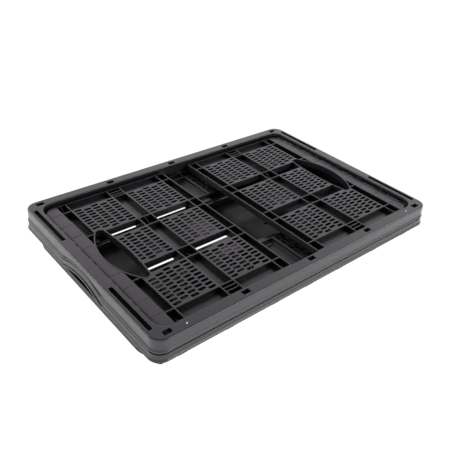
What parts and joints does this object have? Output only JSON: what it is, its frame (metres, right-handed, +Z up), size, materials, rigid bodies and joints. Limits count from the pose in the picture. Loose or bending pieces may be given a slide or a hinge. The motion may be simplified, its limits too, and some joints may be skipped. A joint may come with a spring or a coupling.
{
  "type": "collapsible storage crate",
  "caption": "Folding ventilated plastic crate with a one-piece rim, hinged end walls and long sides that fold in half, shown collapsed flat.",
  "frame": {"origin": "centre of the footprint on the ground plane, under the foot", "axes": "+X along the long sides, +Y towards the rear long side, +Z up out of the mouth"},
  "size_m": [0.534, 0.3696, 0.05],
  "materials": {
    "black_plastic": "satin, fine moulded grain",
    "steel_rod": "drawn wire"
  },
  "bodies": {
    "base": {"base_tray": "black_plastic", "base_hinge_rod_front": "steel_rod", "base_hinge_rod_rear": "steel_rod"},
    "front_lower": {"front_lower_panel": "black_plastic", "middle_hinge_rod_front": "steel_rod"},
    "front_upper": {"front_upper_panel": "black_plastic"},
    "rim": {"top_rim": "black_plastic", "rim_hinge_rod_front": "steel_rod", "rim_hinge_rod_rear": "steel_rod", "end_hinge_rod_left": "steel_rod", "end_hinge_rod_right": "steel_rod"},
    "rear_lower": {"rear_lower_panel": "black_plastic", "middle_hinge_rod_rear": "steel_rod"},
    "rear_upper": {"rear_upper_panel": "black_plastic"},
    "left_end": {"left_end_panel": "black_plastic"},
    "right_end": {"right_end_panel": "black_plastic"}
  },
  "joints": [
    {"name": "front_fold", "type": "hinge", "parent": "base", "child": "front_lower", "pos_m": [0, -0.1715, 0.01265], "axis": [1, 0, 0], "range_deg": [0, 90]},
    {"name": "front_mid", "type": "hinge", "parent": "front_lower", "child": "front_upper", "pos_m": [0, -0.067, 0.01815], "axis": [1, 0, 0], "range_deg": [-180, 0]},
    {"name": "front_rim", "type": "hinge", "parent": "front_upper", "child": "rim", "pos_m": [0, -0.1715, 0.02365], "axis": [1, 0, 0], "range_deg": [0, 90]},
    {"name": "rear_fold", "type": "hinge", "parent": "base", "child": "rear_lower", "pos_m": [0, 0.1715, 0.01265], "axis": [1, 0, 0], "range_deg": [-90, 0]},
    {"name": "rear_mid", "type": "hinge", "parent": "rear_lower", "child": "rear_upper", "pos_m": [0, 0.067, 0.01815], "axis": [1, 0, 0], "range_deg": [0, 180]},
    {"name": "left_end_lift", "type": "hinge", "parent": "rim", "child": "left_end", "pos_m": [-0.2475, 0, 0.0416], "axis": [0, 1, 0], "range_deg": [-68, 0]},
    {"name": "right_end_lift", "type": "hinge", "parent": "rim", "child": "right_end", "pos_m": [0.2475, 0, 0.0416], "axis": [0, 1, 0], "range_deg": [0, 68]}
  ],
  "couplings": [
    {"joint": "front_mid", "follows": "front_fold", "ratio": -2},
    {"joint": "front_rim", "follows": "front_fold", "ratio": 1},
    {"joint": "rear_fold", "follows": "front_fold", "ratio": -1},
    {"joint": "rear_mid", "follows": "front_fold", "ratio": 2}
  ]
}
